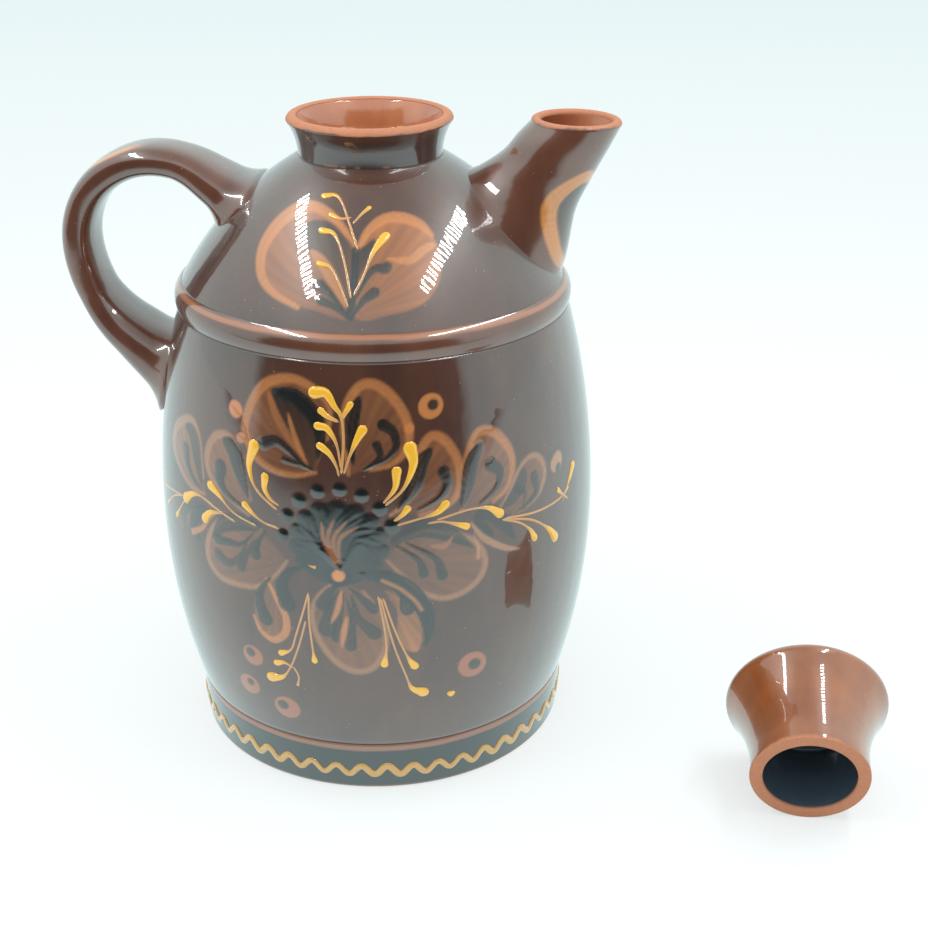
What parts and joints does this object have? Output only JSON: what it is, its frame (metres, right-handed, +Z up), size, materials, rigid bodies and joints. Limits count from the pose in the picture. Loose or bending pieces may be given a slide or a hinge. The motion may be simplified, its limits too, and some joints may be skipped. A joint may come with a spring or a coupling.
{
  "type": "glazed earthenware pouring jug with stopper",
  "caption": "Barrel-shaped glazed clay jug with a domed shoulder, flared neck, upright side spout, strap handle and a loose hollow stopper lying beside it.",
  "frame": {"origin": "centre of the jug's flat foot, on the surface it stands on", "axes": "+Z up, handle along -X, spout along +X, painted front along -Y"},
  "size_m": [0.3699, 0.198, 0.2823],
  "materials": {
    "brown_glaze": "clear brown lead-type glaze over red clay, painted with coloured slips, glossy",
    "dark_slip_glaze": "green-black slip under the same glossy glaze, with an ochre trailed wave",
    "amber_glaze": "clear amber glaze over red clay, glossy, bare clay at the open rim"
  },
  "bodies": {
    "jug": {"barrel": "brown_glaze", "foot_band": "dark_slip_glaze", "shoulder_bead": "brown_glaze", "shoulder_dome": "brown_glaze", "neck_collar": "brown_glaze", "handle": "brown_glaze", "handle_top_pad": "brown_glaze", "handle_foot_pad": "brown_glaze", "spout": "brown_glaze", "spout_skirt": "brown_glaze"},
    "stopper": {"stopper": "amber_glaze"}
  },
  "joints": [
    {"name": "stopper_lift", "type": "slide", "parent": "jug", "child": "stopper", "axis": [0, 0, 1], "range_m": [0, 0.3]}
  ]
}
